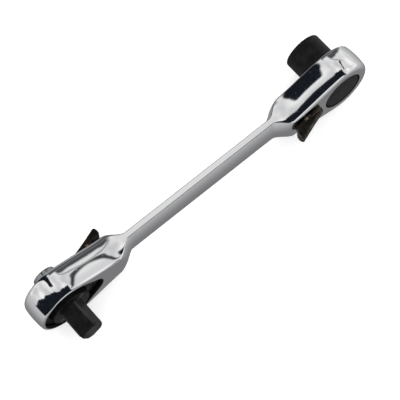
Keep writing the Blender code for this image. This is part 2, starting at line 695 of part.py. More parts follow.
def make_cover_ring(end):
    """A sprung wire that follows the recess in its groove, open at the handle side."""
    outer = pear(RECESS_RADIUS, RECESS_SMALL, RECESS_CENTRE, ROUND, GROOVE_DEPTH - RING_SLACK)
    inner = pear(RECESS_RADIUS, RECESS_SMALL, RECESS_CENTRE, ROUND, -0.35)
    low, high = GROOVE_LOW + RING_SLACK, GROOVE_HIGH - RING_SLACK
    count = len(outer)
    opening = 2
    first = count - count // 4 + opening
    order = [(first + i) % count for i in range(count - 2 * opening)]
    bm = bmesh.new()
    rows = []
    for i in order:
        corners = ((inner[i], low), (outer[i], low), (outer[i], high), (inner[i], high))
        rows.append([bm.verts.new((point[0], v, point[1])) for point, v in corners])
    skin_rows(bm, rows)
    add_object(f"{end}_end_cover_ring", mesh_from(bm), STEEL_SPRING, end)


def main():
    clear_scene()
    make_body()
    make_square_gear()
    make_release()
    make_bit_gear()
    make_bit_fittings()
    for end in ("square", "bit"):
        make_pawl(end)
        make_lever(end)
        make_plunger(end)
        make_cover(end)
        make_cover_ring(end)


main()
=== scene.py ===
"""Looks of a double-ended mini ratchet wrench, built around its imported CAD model.

The tool's long axis is X, its two drive axes lie along Y, and it stands on the rims of its heads.
Shapes are made in local millimetres for each end: u from the drive axis towards mid-handle, v out
of the drive side, w up. The bit end is the square end turned half a turn about Z.
"""
import json
import math

import bmesh
import bpy
from mathutils import Matrix, Vector

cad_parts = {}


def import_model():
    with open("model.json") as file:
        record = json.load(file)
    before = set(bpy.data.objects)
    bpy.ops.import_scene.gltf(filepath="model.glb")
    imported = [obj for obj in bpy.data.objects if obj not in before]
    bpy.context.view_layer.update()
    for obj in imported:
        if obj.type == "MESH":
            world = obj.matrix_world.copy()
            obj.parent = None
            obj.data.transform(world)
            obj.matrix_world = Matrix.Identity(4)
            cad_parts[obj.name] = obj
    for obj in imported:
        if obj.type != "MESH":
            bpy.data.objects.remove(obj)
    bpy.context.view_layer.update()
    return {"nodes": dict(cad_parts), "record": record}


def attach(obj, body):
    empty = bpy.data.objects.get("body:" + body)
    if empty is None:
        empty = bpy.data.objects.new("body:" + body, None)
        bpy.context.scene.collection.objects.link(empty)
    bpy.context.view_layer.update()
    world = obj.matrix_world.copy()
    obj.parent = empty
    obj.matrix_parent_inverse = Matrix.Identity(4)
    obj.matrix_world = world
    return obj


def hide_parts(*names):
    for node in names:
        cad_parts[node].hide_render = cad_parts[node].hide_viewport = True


MM = 0.001
ENDS = ("square", "bit")

# Whole tool, in millimetres
AXIS_OFFSET = 55.3
HEAD_RADIUS = 11.0
HALF = 4.95                 # half the heads' thickness
FLANK_START = 2.24          # where the outline leaves the head's round end
FLANK_END = 24.0            # where it reaches the handle's width
BACK_FILLET = 2.0
DRIVE_FILLET = 0.8
HANDLE_HALF_WIDTH = 5.6
HANDLE_HALF_EDGE = 0.96
HANDLE_HALF_CROWN = 2.15
HANDLE_EDGE_BREAK = 0.25
HANDLE_LEAD = 6.0           # length of handle past the flank that is still finely divided
FLARE_CENTRE = 15.5         # the flat face ends on an ellipse about this point
FLARE_START = 5.6
FLARE_SQUEEZE = 0.85
FLARE_LENGTH = 6.2          # run of the scoop between the face and the handle
FLARE_POWER = 2.0
WALL_CROWN = 26.0           # radius of the walls' slight bulge across their thickness
TOOL_CENTRE = (0.0, 0.45, 11.0)

# Cavities of a head
CAVITY_FLOOR = -2.3
COVER_SEAT = 2.65
RECESS_RADIUS = 9.6
RECESS_SMALL = 4.5
RECESS_CENTRE = 8.2
GROOVE_DEPTH = 0.5
GROOVE_LOW = 3.75
GROOVE_HIGH = 4.55
MOUTH_CHAMFER = 0.12
CUT_PAST = 1.0              # cutters stand this far out of the faces they open
CAVITY_RADIUS = 8.3
CHAMBER_RADIUS = 4.1
CHAMBER_START = 4.0
CHAMBER_START_RADIUS = 5.9
HUB_HOLE = 7.1
LEVER_CENTRE = 13.2
LEVER_BORE = 2.55
LEVER_BORE_TOP = 1.6

# Drives
TEETH = 60
GEAR_TIP = 7.9
GEAR_ROOT = 7.45
GEAR_BAND = (-2.0, 2.3)
HUB_RADIUS = 6.8
HUB_BACK = -4.85
HUB_ROUND = 0.35
COLLAR_TOP = HALF + 0.7
SQUARE_SIDE = 6.3
SQUARE_CORNER = 0.45
SQUARE_TIP = HALF + 10.5
SQUARE_TURN = math.radians(30.0)
TIP_CHAMFER = 0.9           # turned onto the square's corners at 45 degrees
TIP_RADIUS = 3.6
BUTTON_BORE = 4.15
BUTTON_BORE_FLOOR = 0.0
BALL_V = HALF + 6.6
HOLDER_RADIUS = 6.6
HOLDER_END = HALF + 9.6
HOLDER_ROUND = 0.55
MOUTH_BREAK = 0.35          # chamfer at the mouth of the hexagon
HEX_FLATS = 6.5
HEX_TURN = math.radians(15.0)
HEX_FLOOR = 2.5
RING_GROOVE = 4.25
RING_GROOVE_BAND = (11.7, 12.6)
MAGNET_SEAT = (2.85, -0.4)

# Lever, button, cover
STEM_RADIUS = 2.3
STEM_TOP = 1.3
LEVER_LIFT = 0.15
LEVER_BASE_TOP = 1.25       # the plate under the finger, above the head's back face
LEVER_BASE = (3.9, 3.0, 4.0)            # radii of its ends and the distance between their centres
FINGER_SPAN = (-3.7, 8.1)   # ends of the finger, from the lever's axis
FINGER_HALF = 3.35          # its half width at its foot
FINGER_TAPER = 0.16         # what it loses for each millimetre of height
FINGER_TOP = (0.95, 5.0)    # height of its top at the foot and at the tip
FINGER_UNDER = (0.35, 2.45) # height of its underside there; it only lifts near the tip
RIB_PITCH = 1.7             # of the lengthwise ribs on the lever's finger
RIB_TURN = 2 * math.pi / (RIB_PITCH * MM)
BUTTON_RADIUS = 3.9
BUTTON_TOP = -(HALF + 3.3)
BUTTON_UNDER = -3.6
ROD_RADIUS = 1.2
ROD_END = 12.4
ROD_WAIST = 0.5             # radius of the dip that lets the ball in
ROD_TIP = 0.95
COVER_BAND = (2.85, 3.6)
COVER_GAP = 0.3
WIRE_RADIUS = 0.27
PIN_CENTRE = 9.2
PIN_HOLE = 0.78

# Camera: direction from the tool, roll about it, distance and aim shift, in millimetres
VIEW_DIRECTION = (-0.2737, -0.3264, 1.0)
VIEW_ROLL = math.radians(38.28)
VIEW_DISTANCE = 537.9
VIEW_SHIFT = (0.064, -4.731)
LENS = 156.6
SENSOR = 36.0

# Studio, with linear colours
DAYLIGHT = 1.2              # the even light that dull surfaces get
FLOOR_GLOW = 0.3            # the floor's own light, which keeps its shadow faint
FLOOR_HALF = 1.5            # metres
GAP_DARK = (0.007, 0.009, 0.014)
PANEL_TONES = ((0.62, 0.62, 0.625), (0.98, 0.975, 0.96))
TABLE_TONES = ((0.20, 0.20, 0.205), (0.56, 0.56, 0.565))    # straight below, and near the horizon
WALL_TONES = ((0.32, 0.322, 0.33), (0.09, 0.093, 0.10))     # at its foot, and higher up
SWAY = 0.14                 # how far the panels' edges waver, in a unit direction


# ---------------------------------------------------------------- node helpers

def new_tree(name):
    made = bpy.data.materials.new(name)
    made.use_nodes = True
    return made, made.node_tree.nodes["Principled BSDF"]


def add_node(tree, kind, inputs=None, **settings):
    """Adds a node; inputs maps socket names or numbers to values or to sockets to link."""
    node = tree.nodes.new(kind)
    for key, value in settings.items():
        setattr(node, key, value)
    for key, value in (inputs or {}).items():
        if isinstance(value, bpy.types.NodeSocket):
            tree.links.new(value, node.inputs[key])
        else:
            node.inputs[key].default_value = value
    return node


def math_node(tree, operation, *values, clamp=False):
    node = add_node(tree, "ShaderNodeMath", dict(enumerate(values)), operation=operation)
    node.use_clamp = clamp
    return node.outputs[0]


def stretch(tree, scale):
    """Object coordinates in metres, stretched."""
    source = add_node(tree, "ShaderNodeTexCoord").outputs["Object"]
    return add_node(tree, "ShaderNodeMapping", {"Vector": source, "Scale": scale}).outputs["Vector"]


def noise(tree, scale, detail=4.0, roughness=0.55, along=(1.0, 1.0, 1.0)):
    return add_node(tree, "ShaderNodeTexNoise", {
        "Vector": stretch(tree, along), "Scale": scale, "Detail": detail, "Roughness": roughness,
    }).outputs["Fac"]


def span(tree, value, low, high, to_low=0.0, to_high=1.0):
    """Maps low..high to to_low..to_high, smoothly and clamped."""
    return add_node(tree, "ShaderNodeMapRange", {
        "Value": value, "From Min": low, "From Max": high, "To Min": to_low, "To Max": to_high,
    }, interpolation_type="SMOOTHSTEP").outputs["Result"]


def blend_colour(tree, share, first, second):
    node = add_node(tree, "ShaderNodeMix", {0: share}, data_type="RGBA")
    for socket, value in ((node.inputs[6], first), (node.inputs[7], second)):
        if isinstance(value, bpy.types.NodeSocket):
            tree.links.new(value, socket)
        else:
            socket.default_value = (*value, 1.0)
    return node.outputs[2]


def painted_edge_highlight(tree, low, high):
    """1 on convex edges and 0 elsewhere, broken up by noise: the mask of a painted edge highlight."""
    edge = add_node(tree, "ShaderNodeNewGeometry").outputs["Pointiness"]
    ragged = math_node(tree, "MULTIPLY_ADD", noise(tree, 2600.0), 0.05, -0.025)
    return span(tree, math_node(tree, "ADD", edge, ragged), low, high)


def bumped(tree, shader, height, distance, strength=1.0):
    bump = add_node(tree, "ShaderNodeBump", {"Height": height, "Distance": distance, "Strength": strength})
    if shader.inputs["Normal"].links:
        tree.links.new(shader.inputs["Normal"].links[0].from_socket, bump.inputs["Normal"])
    tree.links.new(bump.outputs["Normal"], shader.inputs["Normal"])


# ---------------------------------------------------------------- materials

def chrome_material():
    """Polished plating: clear reflections that waver a little, hairlines and a few dull spots."""
    made, shader = new_tree("polished_chrome")
    tree = made.node_tree
    hairlines = noise(tree, 260.0, 6.0, 0.7, along=(1.0, 9.0, 9.0))
    spots = span(tree, noise(tree, 900.0, 2.0), 0.66, 0.74)
    rough = math_node(tree, "MULTIPLY_ADD", span(tree, hairlines, 0.35, 0.75), 0.035, 0.035)
    rough = math_node(tree, "MULTIPLY_ADD", spots, 0.10, rough)
    tree.links.new(rough, shader.inputs["Roughness"])
    tone = blend_colour(tree, noise(tree, 60.0), (0.86, 0.87, 0.89), (0.92, 0.92, 0.925))
    tree.links.new(tone, shader.inputs["Base Color"])
    shader.inputs["Metallic"].default_value = 1.0
    bumped(tree, shader, noise(tree, 110.0, 1.0), 0.00002)
    bumped(tree, shader, hairlines, 0.0000012)
    return made


def oxide_material(name, dark, light, rough, painted_edge_colour, grain=1500.0, edge=(0.53, 0.60)):
    """Black or brown oxide on steel: mottled and finely grained, with a painted edge highlight: a paler
    colour along its convex edges.
    """
    made, shader = new_tree(name)
    tree = made.node_tree
    mottle = span(tree, noise(tree, 420.0, 5.0, 0.6), 0.35, 0.7)
    coat = blend_colour(tree, mottle, dark, light)
    # painted edge highlight: convex edges are blended towards the paler edge colour
    edge_highlight = painted_edge_highlight(tree, *edge)
    tree.links.new(blend_colour(tree, edge_highlight, coat, painted_edge_colour), shader.inputs["Base Color"])
    fine = noise(tree, grain, 3.0, 0.65)
    edge_rough = math_node(tree, "MULTIPLY_ADD", edge_highlight, -0.12, rough)
    tree.links.new(math_node(tree, "MULTIPLY_ADD", fine, 0.16, edge_rough), shader.inputs["Roughness"])
    shader.inputs["Metallic"].default_value = 0.55
    shader.inputs["Specular IOR Level"].default_value = 0.25
    bumped(tree, shader, fine, 0.000012)
    return made


def lever_material():
    """Dark oxide with painted highlights: tan bands on the crests of the finger's ribs, and a paler tan on
    its edges.
    """
    made = oxide_material("bronze_oxide_painted_highlights", (0.006, 0.005, 0.0045), (0.020, 0.016, 0.012),
                          0.26, (0.16, 0.125, 0.085), grain=2200.0, edge=(0.53, 0.60))
    tree = made.node_tree
    shader = tree.nodes["Principled BSDF"]
    source = add_node(tree, "ShaderNodeTexCoord").outputs["Object"]
    height = add_node(tree, "ShaderNodeSeparateXYZ", {0: source}).outputs["Z"]
    turns = math_node(tree, "MULTIPLY_ADD", height, RIB_TURN, -TOOL_CENTRE[2] * MM * RIB_TURN)
    # painted highlight: tan bands on the crests of the finger's ribs, broken up by noise
    ribs = span(tree, math_node(tree, "COSINE", turns), 0.45, 0.95)
    highlight_breakup = span(tree, noise(tree, 520.0, 3.0), 0.42, 0.60)
    share = math_node(tree, "MULTIPLY", ribs, highlight_breakup)
    coat = shader.inputs["Base Color"].links[0].from_socket
    # the tan colour is the painted rib highlight
    tree.links.new(blend_colour(tree, share, coat, (0.21, 0.165, 0.11)), shader.inputs["Base Color"])
    return made


def steel_material(name, dark, light, rough, along=(1.0, 1.0, 1.0), scale=700.0):
    """Bare or plated steel with fine tool marks."""
    made, shader = new_tree(name)
    tree = made.node_tree
    marks = noise(tree, scale, 6.0, 0.7, along)
    tree.links.new(blend_colour(tree, marks, dark, light), shader.inputs["Base Color"])
    tree.links.new(math_node(tree, "MULTIPLY_ADD", marks, 0.2, rough), shader.inputs["Roughness"])
    shader.inputs["Metallic"].default_value = 1.0
    bumped(tree, shader, marks, 0.000004)
    return made


def make_materials():
    return {
        "chrome": chrome_material(),
        # near-black painted shade for the cavity walls; its last colour is a faint painted edge highlight
        "cavity_shade": oxide_material("cavity_painted_shade", (0.004, 0.004, 0.005), (0.010, 0.010, 0.010),
                                   0.45, (0.03, 0.03, 0.03)),
        # the last colour of each oxide finish here is its painted edge highlight
        "black_oxide": oxide_material("satin_black_oxide", (0.0065, 0.0063, 0.0070), (0.017, 0.0165, 0.018),
                                      0.34, (0.075, 0.075, 0.08)),
        "cover_black": oxide_material("matte_black_cover", (0.005, 0.005, 0.0055), (0.011, 0.011, 0.012),
                                      0.42, (0.04, 0.04, 0.042)),
        "lever_bronze": lever_material(),
        "spring_steel": steel_material("drawn_spring_steel", (0.30, 0.30, 0.31), (0.52, 0.52, 0.53), 0.22),
        "ground_steel": steel_material("ground_steel", (0.42, 0.42, 0.43), (0.66, 0.66, 0.67), 0.18,
                                       along=(1.0, 6.0, 1.0)),
        "button_chrome": steel_material("satin_button_chrome", (0.26, 0.263, 0.27),
                                        (0.38, 0.383, 0.39), 0.05),
        "magnet": steel_material("nickel_magnet", (0.40, 0.39, 0.36), (0.60, 0.58, 0.54), 0.20),
    }


# ---------------------------------------------------------------- mesh helpers

def end_matrix(end):
    """Local u, v, w in millimetres to world metres; None is the whole tool's centre."""
    middle = Matrix.Translation(Vector(TOOL_CENTRE))
    if end is None:
        return Matrix.Scale(MM, 4) @ middle
    sign = {"square": 1.0, "bit": -1.0}[end]
    turn = Matrix(((sign, 0, 0), (0, -sign, 0), (0, 0, 1))).to_4x4()
    return Matrix.Scale(MM, 4) @ middle @ Matrix.Translation((-sign * AXIS_OFFSET, 0, 0)) @ turn


def mesh_from(bm, smooth_below=32.0):
    bmesh.ops.remove_doubles(bm, verts=bm.verts, dist=1e-5)
    bmesh.ops.dissolve_degenerate(bm, dist=1e-5, edges=bm.edges)
    bmesh.ops.recalc_face_normals(bm, faces=bm.faces)
    mesh = bpy.data.meshes.new("piece")
    bm.to_mesh(mesh)
    bm.free()
    mesh.shade_smooth()
    mesh.set_sharp_from_angle(angle=math.radians(smooth_below))
    return mesh


def link_mesh(name, mesh, end, materials=()):
    place = end_matrix(end)
    mesh.transform(place)
    if place.determinant() < 0:
        mesh.flip_normals()
    for material in materials:
        mesh.materials.append(material)
    obj = bpy.data.objects.new(name, mesh)
    bpy.context.scene.collection.objects.link(obj)
    return obj


def stack(bm, loops, closed=True):
    """Skins closed loops of equal counts; the ends are capped, or joined to each other."""
    rows = [[bm.verts.new(point) for point in loop] for loop in loops]
    pairs = list(zip(rows, rows[1:]))
    if not closed:
        pairs.append((rows[-1], rows[0]))
    count = len(rows[0])
    for low, high in pairs:
        for i in range(count):
            j = (i + 1) % count
            bm.faces.new((low[i], low[j], high[j], high[i]))
    if closed:
        bm.faces.new(rows[0][::-1])
        bm.faces.new(rows[-1])


def rounded(profile, radius, steps=4):
    """Rounds each inner corner of an open polyline of (r, v) points."""
    points = [profile[0]]
    for before, corner, after in zip(profile, profile[1:], profile[2:]):
        here = Vector(corner)
        to_start, to_end = Vector(before) - here, Vector(after) - here
        reach = min(radius, 0.45 * to_start.length, 0.45 * to_end.length)
        first = here + to_start.normalized() * reach
        last = here + to_end.normalized() * reach
        for k in range(steps + 1):
            t = k / steps
            point = first * (1 - t) ** 2 + here * (2 * t * (1 - t)) + last * t ** 2
            points.append((point.x, point.y))
    points.append(profile[-1])
    return points


def circle(radius, sides, centre=(0.0, 0.0)):
    step = 2 * math.pi / sides
    return [(centre[0] + radius * math.cos((i + 0.5) * step),
             centre[1] + radius * math.sin((i + 0.5) * step)) for i in range(sides)]


def turned(profile, sides=96, centre=(0.0, 0.0), closed=True, bm=None):
    """Turns (radius, v) points about the axis through centre, along v."""
    bm = bm or bmesh.new()
    stack(bm, [[(u, v, w) for u, w in circle(radius, sides, centre)] for radius, v in profile], closed)
    return bm


def pear(big, small, centre, sides, offset=0.0, start=0.0):
    """Hull of a big circle at start and a small one at centre, as a closed outline in u, w."""
    big, small = big + offset, small + offset
    lean = math.asin((big - small) / (centre - start))
    edge = math.pi / 2 - lean
    points = []
    for i in range(sides + 1):
        angle = edge + (2 * math.pi - 2 * edge) * i / sides
        points.append((start + big * math.cos(angle), big * math.sin(angle)))
    for i in range(sides + 1):
        angle = -edge + 2 * edge * i / sides
        points.append((centre + small * math.cos(angle), small * math.sin(angle)))
    return points


def recess_outline(offset, sides=64):
    return pear(RECESS_RADIUS, RECESS_SMALL, RECESS_CENTRE, sides, offset)


def raised(outline, v):
    return [(u, v, w) for u, w in outline]


# ---------------------------------------------------------------- body

def outline_half_width(u):
    """Half width of the tool past a head's round end: one smooth curve down to the handle."""
    run = FLANK_END - FLANK_START
    share = min((u - FLANK_START) / run, 1.0)
    first = math.sqrt(HEAD_RADIUS ** 2 - FLANK_START ** 2)
    slope = -FLANK_START / first
    start = (1 + 2 * share) * (1 - share) ** 2
    lean = share * (1 - share) ** 2 * run
    return first * start + slope * lean + HANDLE_HALF_WIDTH * (1 - start)


def stations():
    """Lines across half the tool, from a head's round end to mid-handle.

    Each takes 0 (the centre line) to 1 (the outline) and gives a point in u, w.
    """
    fan, flank, runs = 56, 90, 26
    last = math.acos(FLANK_START / HEAD_RADIUS)
    lines = [fan_line(math.pi - (math.pi - last) * i / fan) for i in range(fan + 1)]
    handle = FLANK_END + HANDLE_LEAD
    for i in range(1, flank + 1):
        share = i / flank
        edge = FLANK_START + (handle - FLANK_START) * share
        lines.append(cross_line(edge, -FLANK_START * (1 - share)))
    for i in range(1, runs + 1):
        lines.append(cross_line(handle + (AXIS_OFFSET - handle) * i / runs, 0.0))
    return lines


def fan_line(angle):
    return lambda t: (t * HEAD_RADIUS * math.cos(angle), t * HEAD_RADIUS * math.sin(angle))


def cross_line(edge, shift):
    """From the centre line to the outline at edge; shift moves its inner end along the tool."""
    half = outline_half_width(edge)
    return lambda t: (edge + shift * (1 - t), t * half)


def half_height(u, w):
    """Half thickness of the body: the head's flat face eases into the crowned handle."""
    if u < FLARE_CENTRE:
        return HALF
    t = min(abs(w) / outline_half_width(u), 1.0)
    lens = HANDLE_HALF_EDGE + (HANDLE_HALF_CROWN - HANDLE_HALF_EDGE) * (1 - t ** 2)
    past = math.hypot(u - FLARE_CENTRE, w * FLARE_SQUEEZE) - FLARE_START
    share = min(max(past / FLARE_LENGTH, 0.0), 1.0)
    ease = (1 - share) ** FLARE_POWER * (1 + FLARE_POWER * share)
    return lens + (HALF - lens) * ease


def rim_arcs(length, height, fillet):
    """Centre and end angles of an edge rounding that runs smoothly into the crowned wall.

    height maps the distance from the centre line to the face's height; angles are measured from
    the wall's outward direction. Returns (x, y, angle at the face, angle at the wall).
    """
    step = 0.01
    x = length - fillet
    for _ in range(8):
        slope = math.atan((height(x - step) - height(x)) / step)
        first = math.pi / 2 - slope
        y = height(x + fillet * math.cos(first)) - fillet * math.sin(first)
        x = length - WALL_CROWN + math.sqrt((WALL_CROWN - fillet) ** 2 - y ** 2)
    return x, y, first, math.asin(y / (WALL_CROWN - fillet))


def body_columns(fillet):
    """Points of one quarter of the body's skin, a row for each station, from centre to mid-wall."""
    inner, turns, wall = 14, 9, 8
    rows = []
    for point in stations():
        u, w = point(1.0)
        length = math.dist(point(0.0), (u, w))
        thick = (half_height(u, w) - HANDLE_HALF_EDGE) / (HALF - HANDLE_HALF_EDGE)
        radius = HANDLE_EDGE_BREAK + (fillet - HANDLE_EDGE_BREAK) * min(max(thick, 0.0), 1.0)
        x, y, first, last = rim_arcs(length, lambda d: half_height(*point(d / length)), radius)
        start = x + radius * math.cos(first)
        row = []
        for k in range(inner):
            across = point(start / length * k / inner)
            row.append((*across, half_height(*across)))
        for k in range(turns + 1):
            angle = first + (last - first) * k / turns
            row.append((*point((x + radius * math.cos(angle)) / length), y + radius * math.sin(angle)))
        for k in range(1, wall + 1):
            angle = last * (1 - k / wall)
            across = 1 - WALL_CROWN * (1 - math.cos(angle)) / length
            row.append((*point(across), WALL_CROWN * math.sin(angle)))
        rows.append(row)
    return rows


def body_skin():
    bm = bmesh.new()
    columns = {1: body_columns(DRIVE_FILLET), -1: body_columns(BACK_FILLET)}
    for end in (1, -1):
        for up in (1, -1):
            for out in (1, -1):
                grid = [[bm.verts.new((end * (u - AXIS_OFFSET), -end * out * n, up * w))
                         for u, w, n in row] for row in columns[out]]
                for low, high in zip(grid, grid[1:]):
                    for i in range(len(low) - 1):
                        bm.faces.new((low[i], low[i + 1], high[i + 1], high[i]))
    return mesh_from(bm)


def recess_cutter():
    rise = MOUTH_CHAMFER
    levels = ((0.0, COVER_SEAT), (0.0, GROOVE_LOW), (GROOVE_DEPTH, GROOVE_LOW),
              (GROOVE_DEPTH, GROOVE_HIGH), (0.0, GROOVE_HIGH), (0.0, HALF - rise),
              (rise + CUT_PAST, HALF + CUT_PAST))
    bm = bmesh.new()
    stack(bm, [raised(recess_outline(offset), v) for offset, v in levels])
    return bm


def cavity_cutter():
    """The hub's hole with its chamfered mouth, and the gear's cavity."""
    rise = MOUTH_CHAMFER
    return turned(((HUB_HOLE + rise + CUT_PAST, -HALF - CUT_PAST), (HUB_HOLE, -HALF + rise),
                   (HUB_HOLE, CAVITY_FLOOR), (CAVITY_RADIUS, CAVITY_FLOOR),
                   (CAVITY_RADIUS, COVER_SEAT + CUT_PAST)))


def chamber_cutter():
    outline = pear(CHAMBER_START_RADIUS, CHAMBER_RADIUS, RECESS_CENTRE, 24, start=CHAMBER_START)
    bm = bmesh.new()
    stack(bm, [raised(outline, v) for v in (CAVITY_FLOOR, COVER_SEAT + CUT_PAST / 2)])
    return bm


def lever_bore_cutter():
    profile = ((LEVER_BORE, -HALF - CUT_PAST), (LEVER_BORE, LEVER_BORE_TOP))
    return turned(profile, 36, (LEVER_CENTRE, 0.0))


def cut_away(obj, cutters):
    """Cuts closed shapes from a piece and keeps only the result."""
    for cutter in cutters:
        cut = obj.modifiers.new(cutter.name, "BOOLEAN")
        cut.operation = "DIFFERENCE"
        cut.solver = "EXACT"
        cut.object = cutter
    bake_modifiers(obj)
    for cutter in cutters:
        bpy.data.objects.remove(cutter, do_unlink=True)


def bake_modifiers(obj):
    bpy.context.view_layer.update()
    seen = obj.evaluated_get(bpy.context.evaluated_depsgraph_get())
    obj.data = bpy.data.meshes.new_from_object(seen)
    obj.modifiers.clear()


def weighted_normals(obj):
    """Keeps large flat faces flat beside their rounded edges."""
    weigh = obj.modifiers.new("weigh", "WEIGHTED_NORMAL")
    weigh.mode = "FACE_AREA"
    weigh.weight = 100
    weigh.keep_sharp = True
    bake_modifiers(obj)


def make_body(chrome, cavity_shade):
    """The forged shell: plated outside, with a near-black painted shade on the walls of its cavities."""
    body = link_mesh("body_shell", body_skin(), None, (chrome, cavity_shade))
    cutters = []
    for end in ENDS:
        for make in (recess_cutter, cavity_cutter, chamber_cutter, lever_bore_cutter):
            mesh = mesh_from(make())
            # the cutters' faces become the cavity walls, which take the near-black painted shade
            mesh.polygons.foreach_set("material_index", [1] * len(mesh.polygons))
            cutters.append(link_mesh("cutter", mesh, end, (chrome, cavity_shade)))
    cut_away(body, cutters)
    body.data.set_sharp_from_angle(angle=math.radians(28.0))
    weighted_normals(body)
    return body


# ---------------------------------------------------------------- drives

def tooth_outline():
    points = []
    pitch = 2 * math.pi / TEETH
    for i in range(TEETH):
        for radius, angle in ((GEAR_ROOT, -0.36), (GEAR_TIP, -0.13), (GEAR_TIP, 0.13), (GEAR_ROOT, 0.36)):
            points.append((radius * math.cos((i + angle) * pitch), radius * math.sin((i + angle) * pitch)))
    return points


def add_teeth(bm):
    """The gear's toothed rim, closed on itself just inside the hub."""
    inside = [(u * 0.8, w * 0.8) for u, w in tooth_outline()]
    low, high = GEAR_BAND
    stack(bm, [raised(tooth_outline(), low), raised(tooth_outline(), high), raised(inside, high),
               raised(inside, low)], closed=False)


def square_reach(angle, side, corner):
    """Distance from the axis to a square with rounded corners, at an angle."""
    turn = math.pi / 2
    local = abs((angle + turn / 2) % turn - turn / 2)
    flat = side / 2 / math.cos(local)
    middle = (side / 2 - corner) * math.sqrt(2)
    off = turn / 2 - local
    inside = corner ** 2 - (middle * math.sin(off)) ** 2
    if inside <= 0:
        return flat
    arc = middle * math.cos(off) + math.sqrt(inside)
    return min(flat, arc)


def shank_loop(v, limit, sides=144):
    """The square's outline at v, held within a radius that the turning of its tip leaves."""
    loop = []
    for i in range(sides):
        angle = 2 * math.pi * i / sides
        reach = min(square_reach(angle - SQUARE_TURN, SQUARE_SIDE, SQUARE_CORNER), limit)
        loop.append((reach * math.cos(angle), v, reach * math.sin(angle)))
    return loop


def add_shank(bm):
    """The male square; the turned chamfer of its tip is a little softened."""
    corner = TIP_RADIUS + TIP_CHAMFER
    loops = [shank_loop(HALF, corner), shank_loop(SQUARE_TIP - TIP_CHAMFER * 1.2, corner)]
    profile = ((corner, SQUARE_TIP - TIP_CHAMFER), (TIP_RADIUS, SQUARE_TIP), (1.0, SQUARE_TIP))
    for radius, v in rounded(profile, 0.18, 5)[:-1]:
        loops.append(shank_loop(v, radius))
    stack(bm, loops)


def make_square_drive():
    bm = bmesh.new()
    add_teeth(bm)
    hub = ((BUTTON_BORE, BUTTON_BORE_FLOOR), (BUTTON_BORE, HUB_BACK), (HUB_RADIUS, HUB_BACK),
           (HUB_RADIUS, COLLAR_TOP), (SQUARE_SIDE * 0.42, COLLAR_TOP))
    turned(rounded(hub, HUB_ROUND, 5), 96, bm=bm)
    add_shank(bm)
    return link_mesh("square_drive", mesh_from(bm, 35.0), "square")


def hex_reach(angle, flats):
    turn = math.pi / 3
    local = (angle + turn / 2) % turn - turn / 2
    return flats / 2 / math.cos(local)


def hex_loop(v, flats, limit, sides=144):
    loop = []
    for i in range(sides):
        angle = 2 * math.pi * i / sides
        reach = min(hex_reach(angle + HEX_TURN, flats), limit)
        loop.append((reach * math.cos(angle), v, reach * math.sin(angle)))
    return loop


def round_loop(radius, v, sides=144):
    return [(radius * math.cos(2 * math.pi * i / sides), v, radius * math.sin(2 * math.pi * i / sides))
            for i in range(sides)]


def make_bit_holder():
    bm = bmesh.new()
    add_teeth(bm)
    profile = ((0.5, HUB_BACK), (HUB_RADIUS, HUB_BACK), (HUB_RADIUS, GEAR_BAND[0]),
               (HOLDER_RADIUS, GEAR_BAND[1]), (HOLDER_RADIUS, HOLDER_END), (4.5, HOLDER_END))
    loops = [round_loop(radius, v) for radius, v in rounded(profile, HOLDER_ROUND, 6)]
    mouth = HEX_FLATS / 2 / math.cos(math.radians(30))
    low, high = RING_GROOVE_BAND
    loops.append(round_loop(mouth + MOUTH_BREAK, HOLDER_END))
    for v in (HOLDER_END - MOUTH_BREAK, HOLDER_END - 1.0, high):
        loops.append(hex_loop(v, HEX_FLATS, mouth))
    loops += [round_loop(RING_GROOVE, high), round_loop(RING_GROOVE, low)]
    loops += [hex_loop(low, HEX_FLATS, mouth), hex_loop(HEX_FLOOR, HEX_FLATS, mouth)]
    seat, floor = MAGNET_SEAT
    loops += [round_loop(seat, HEX_FLOOR), round_loop(seat, floor)]
    stack(bm, loops)
    return link_mesh("bit_holder", mesh_from(bm, 35.0), "bit")


def make_button():
    """Push button with a shallow dish in its top, and its rod."""
    top = BUTTON_TOP
    dish = ((0.2, top + 0.25), (BUTTON_RADIUS - 1.5, top + 0.12), (BUTTON_RADIUS - 0.9, top))
    side = ((BUTTON_RADIUS - 0.1, top), (BUTTON_RADIUS, BUTTON_UNDER), (ROD_RADIUS, BUTTON_UNDER))
    rod = ((ROD_RADIUS, BALL_V - 3.0), (ROD_WAIST, BALL_V - 1.5), (ROD_TIP, BALL_V), (ROD_TIP, ROD_END))
    profile = rounded(dish + side + rod, 0.4, 5)
    return link_mesh("push_button", mesh_from(turned(profile, 72)), "square")


# ---------------------------------------------------------------- lever and cover

def beyond(share, start):
    """0 up to start, then rising to 1 at the far end."""
    return max(0.0, (share - start) / (1 - start))


def lever_section(share, sides=64):
    """A ribbed, rounded section across the lever's finger, at a share of its length."""
    start, finish = FINGER_SPAN
    u = LEVER_CENTRE + start + (finish - start) * share
    foot, tip = FINGER_UNDER
    under = foot + (tip - foot) * beyond(share, 0.82) ** 1.6
    foot, tip = FINGER_TOP
    top = foot + (tip - foot) * share ** 1.05 - 1.1 * beyond(share, 0.90) ** 2
    half = (top - under) / 2
    middle = (top + under) / 2
    close = math.sqrt(1 - beyond(share, 0.93) ** 2) * min(1.0, 0.25 + share * 14)
    loop = []
    for i in range(sides):
        angle = 2 * math.pi * i / sides
        across = math.copysign(abs(math.cos(angle)) ** 0.42, math.cos(angle))
        rise = math.copysign(abs(math.sin(angle)) ** 0.42, math.sin(angle))
        h = middle + rise * half * (0.35 + 0.65 * close)
        w = across * (FINGER_HALF - FINGER_TAPER * h) * (0.3 + 0.7 * close)
        if rise > 0.9 and share > 0.12:
            h += 0.20 * math.cos(2 * math.pi * w / RIB_PITCH) - 0.12
        if abs(across) > 0.9 and rise > 0.2:
            w -= math.copysign(0.10 * (0.5 + 0.5 * math.cos(2 * math.pi * u / 0.8)), across)
        loop.append((u, -HALF - h, w))
    return loop


